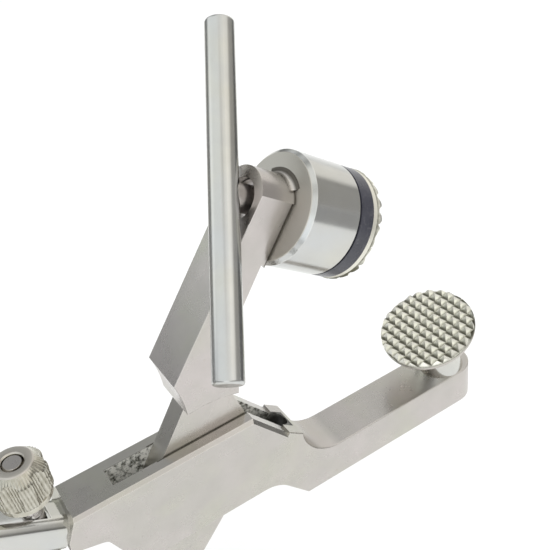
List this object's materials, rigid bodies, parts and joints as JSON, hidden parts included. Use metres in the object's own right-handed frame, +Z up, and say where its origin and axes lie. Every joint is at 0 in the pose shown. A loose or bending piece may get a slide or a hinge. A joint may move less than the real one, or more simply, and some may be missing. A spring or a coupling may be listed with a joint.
{
  "type": "surgical bone clamp",
  "caption": "Steel bone clamp with a box-jointed lever, a screw-driven toothed pressure pad facing a fixed toothed pad, and a nut that locks the handles.",
  "frame": {"origin": "under the middle of the clamp's box, at the height of its lowest point, in the plane of the handles", "axes": "+X forward along the body to the jaw tip, +Y across the body to the far side, +Z up from the lower handle to the cross bar"},
  "size_m": [0.219, 0.0528, 0.2053],
  "materials": {
    "satin_steel": "fine satin, lightly worn",
    "polished_steel": "polished stainless steel",
    "toothed_steel": "bright blasted teeth",
    "knurled_steel": "knurled and worn",
    "black_polymer": "smooth black polymer"
  },
  "bodies": {
    "body": {"body_frame": "satin_steel", "upper_handle": "polished_steel", "pivot_pin": "satin_steel", "lower_pad_stud": "polished_steel", "lower_pad": "toothed_steel", "lower_pad_screw": "satin_steel"},
    "lever": {"jaw_lever": "satin_steel", "lower_handle": "polished_steel", "lower_handle_rivets": "satin_steel", "spindle_pin": "satin_steel", "screw_housing": "polished_steel", "housing_key_pin": "satin_steel", "thrust_washer": "satin_steel"},
    "screw": {"drive_screw": "satin_steel", "t_bar": "polished_steel", "retaining_ring": "satin_steel"},
    "pressure_pad": {"pad_piston": "satin_steel", "cushion_ring": "black_polymer", "upper_pad": "toothed_steel"},
    "spindle": {"lock_spindle": "satin_steel"},
    "nut_seat": {"seat_washer": "satin_steel"},
    "nut": {"lock_nut": "knurled_steel"}
  },
  "joints": [
    {"name": "lever_pivot", "type": "hinge", "parent": "body", "child": "lever", "pos_m": [0.0312, 0, 0.1112], "axis": [0, 1, 0], "range_deg": [0, 37.8]},
    {"name": "screw_turn", "type": "hinge", "parent": "lever", "child": "screw", "pos_m": [0.04776, 0, 0.18012], "axis": [0.8028, 0, -0.5962], "range_deg": [0, 1080]},
    {"name": "pad_travel", "type": "slide", "parent": "lever", "child": "pressure_pad", "axis": [0.8028, 0, -0.5962], "range_m": [0, 0.0045]},
    {"name": "spindle_swing", "type": "hinge", "parent": "lever", "child": "spindle", "pos_m": [-0.00926, 0, 0.06025], "axis": [0, 1, 0], "range_deg": [-9.31, 0]},
    {"name": "nut_travel", "type": "slide", "parent": "spindle", "child": "nut_seat", "axis": [-0.0175, 0, -0.9998], "range_m": [0, 0.03221]},
    {"name": "nut_turn", "type": "hinge", "parent": "nut_seat", "child": "nut", "pos_m": [-0.00793, 0, 0.13684], "axis": [0.0175, 0, 0.9998], "continuous": true}
  ],
  "couplings": [
    {"joint": "pad_travel", "follows": "screw_turn", "m_per_rad": 0.00023873},
    {"joint": "spindle_swing", "follows": "lever_pivot", "ratio": -0.24603},
    {"joint": "nut_travel", "follows": "lever_pivot", "m_per_rad": 0.048808}
  ]
}
